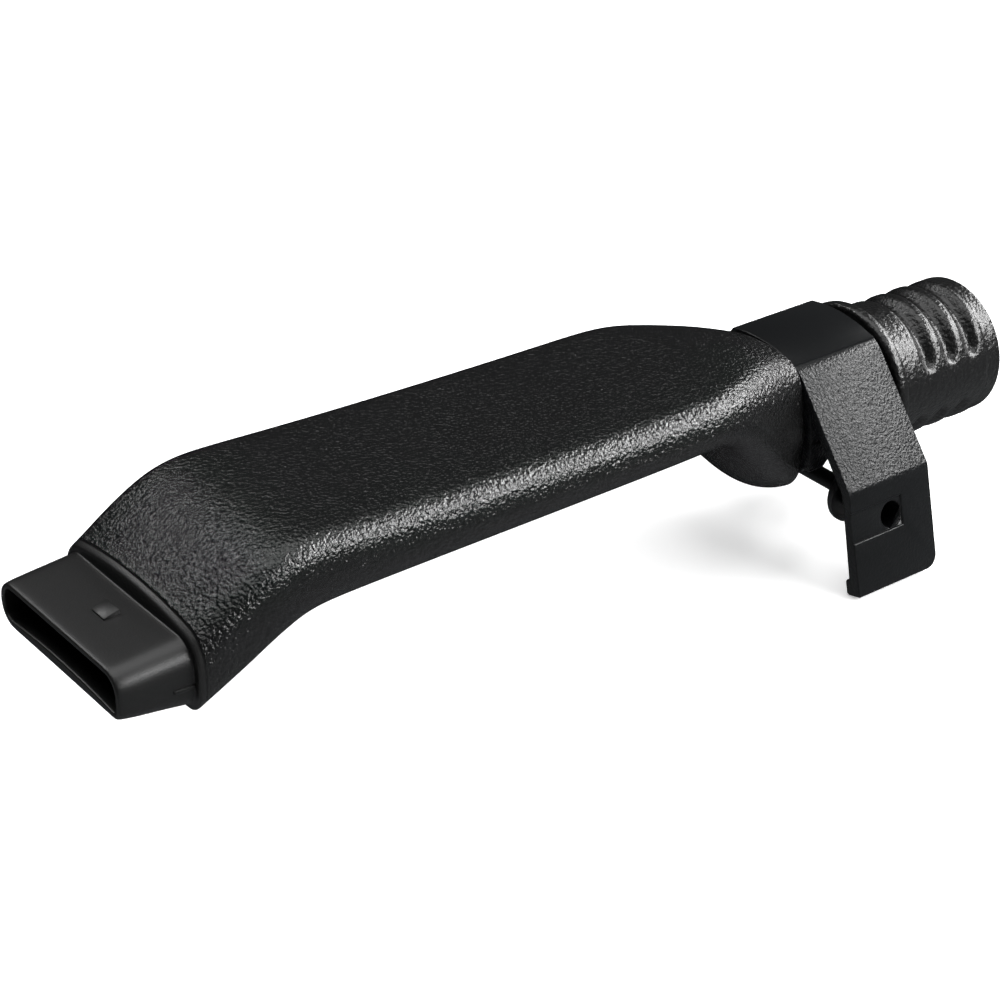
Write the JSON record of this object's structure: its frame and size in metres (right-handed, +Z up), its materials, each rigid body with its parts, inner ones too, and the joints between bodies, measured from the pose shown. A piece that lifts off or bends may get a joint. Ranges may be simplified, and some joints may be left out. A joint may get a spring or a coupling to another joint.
{
  "type": "dust extraction nozzle",
  "caption": "Flat dust-extraction duct with a stepped spigot at the front, a round threaded hose neck and a clip-on saddle bracket with a captive clamp screw.",
  "frame": {"origin": "centre of the hose neck's rim", "axes": "+X leaves through the hose neck and the duct runs along -X to the flat mouth, +Z is up, and the bracket's long leg hangs on the -Y side"},
  "size_m": [0.313, 0.0798, 0.0756],
  "materials": {
    "duct_plastic": "leather grain, blow-moulded polyethylene",
    "bracket_plastic": "fine spark-eroded grain, moulded nylon",
    "screw_steel": "black oxide",
    "cup_plastic": "satin, moulded nylon",
    "washer_plastic": "satin, moulded nylon"
  },
  "bodies": {
    "duct": {"duct_body": "duct_plastic"},
    "bracket": {"saddle_bracket": "bracket_plastic"},
    "screw_carrier": {"retaining_washer": "washer_plastic"},
    "screw": {"clamp_screw": "screw_steel", "screw_cup": "cup_plastic"}
  },
  "joints": [
    {"name": "bracket_swivel", "type": "hinge", "parent": "duct", "child": "bracket", "pos_m": [-0.06375, 0, 0], "axis": [1, 0, 0], "range_deg": [-45, 45]},
    {"name": "screw_slide", "type": "slide", "parent": "bracket", "child": "screw_carrier", "axis": [0, 1, 0], "range_m": [0, 0.006]},
    {"name": "screw_turn", "type": "hinge", "parent": "screw_carrier", "child": "screw", "pos_m": [-0.06375, 0, -0.0212], "axis": [0, 1, 0], "continuous": true}
  ]
}
